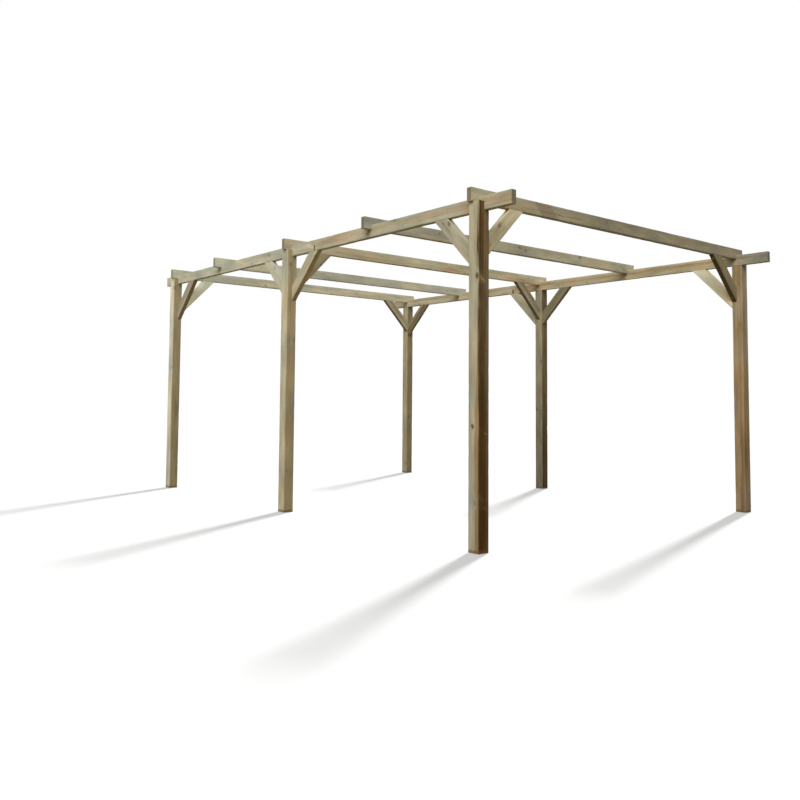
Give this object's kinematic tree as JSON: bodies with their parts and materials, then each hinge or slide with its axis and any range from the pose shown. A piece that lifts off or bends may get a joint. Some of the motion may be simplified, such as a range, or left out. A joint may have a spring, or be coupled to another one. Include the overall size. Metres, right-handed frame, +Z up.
{
  "type": "carport",
  "caption": "Open timber carport frame: square posts with half-lapped heads, spliced side beams, notched rafters and mitred knee braces, standing on its post feet.",
  "frame": {"origin": "on the ground, in the middle of the frame's width and of its length over the beam ends", "axes": "+Z up, +Y from the front to the back along the beams, +X to the right across the bay"},
  "size_m": [3.54, 5.245, 2.405],
  "materials": {
    "post_timber": "planed, pressure-treated, weathered",
    "beam_timber": "planed, pressure-treated, weathered",
    "rafter_timber": "planed, pressure-treated, weathered",
    "brace_timber": "planed, pressure-treated, weathered"
  },
  "bodies": {
    "root": {"post_left_front": "post_timber", "post_left_middle": "post_timber", "post_left_rear": "post_timber", "post_right_front": "post_timber", "post_right_middle": "post_timber", "post_right_rear": "post_timber", "beam_left_front": "beam_timber", "beam_left_rear": "beam_timber", "beam_right_front": "beam_timber", "beam_right_rear": "beam_timber", "rafter_front": "rafter_timber", "rafter_second": "rafter_timber", "rafter_middle": "rafter_timber", "rafter_fourth": "rafter_timber", "rafter_rear": "rafter_timber", "brace_left_front_backward": "brace_timber", "brace_left_front_rafter": "brace_timber", "brace_left_middle_forward": "brace_timber", "brace_left_middle_backward": "brace_timber", "brace_left_middle_rafter": "brace_timber", "brace_left_rear_forward": "brace_timber", "brace_left_rear_rafter": "brace_timber", "brace_right_front_backward": "brace_timber", "brace_right_front_rafter": "brace_timber", "brace_right_middle_forward": "brace_timber", "brace_right_middle_backward": "brace_timber", "brace_right_middle_rafter": "brace_timber", "brace_right_rear_forward": "brace_timber", "brace_right_rear_rafter": "brace_timber"}
  },
  "joints": []
}
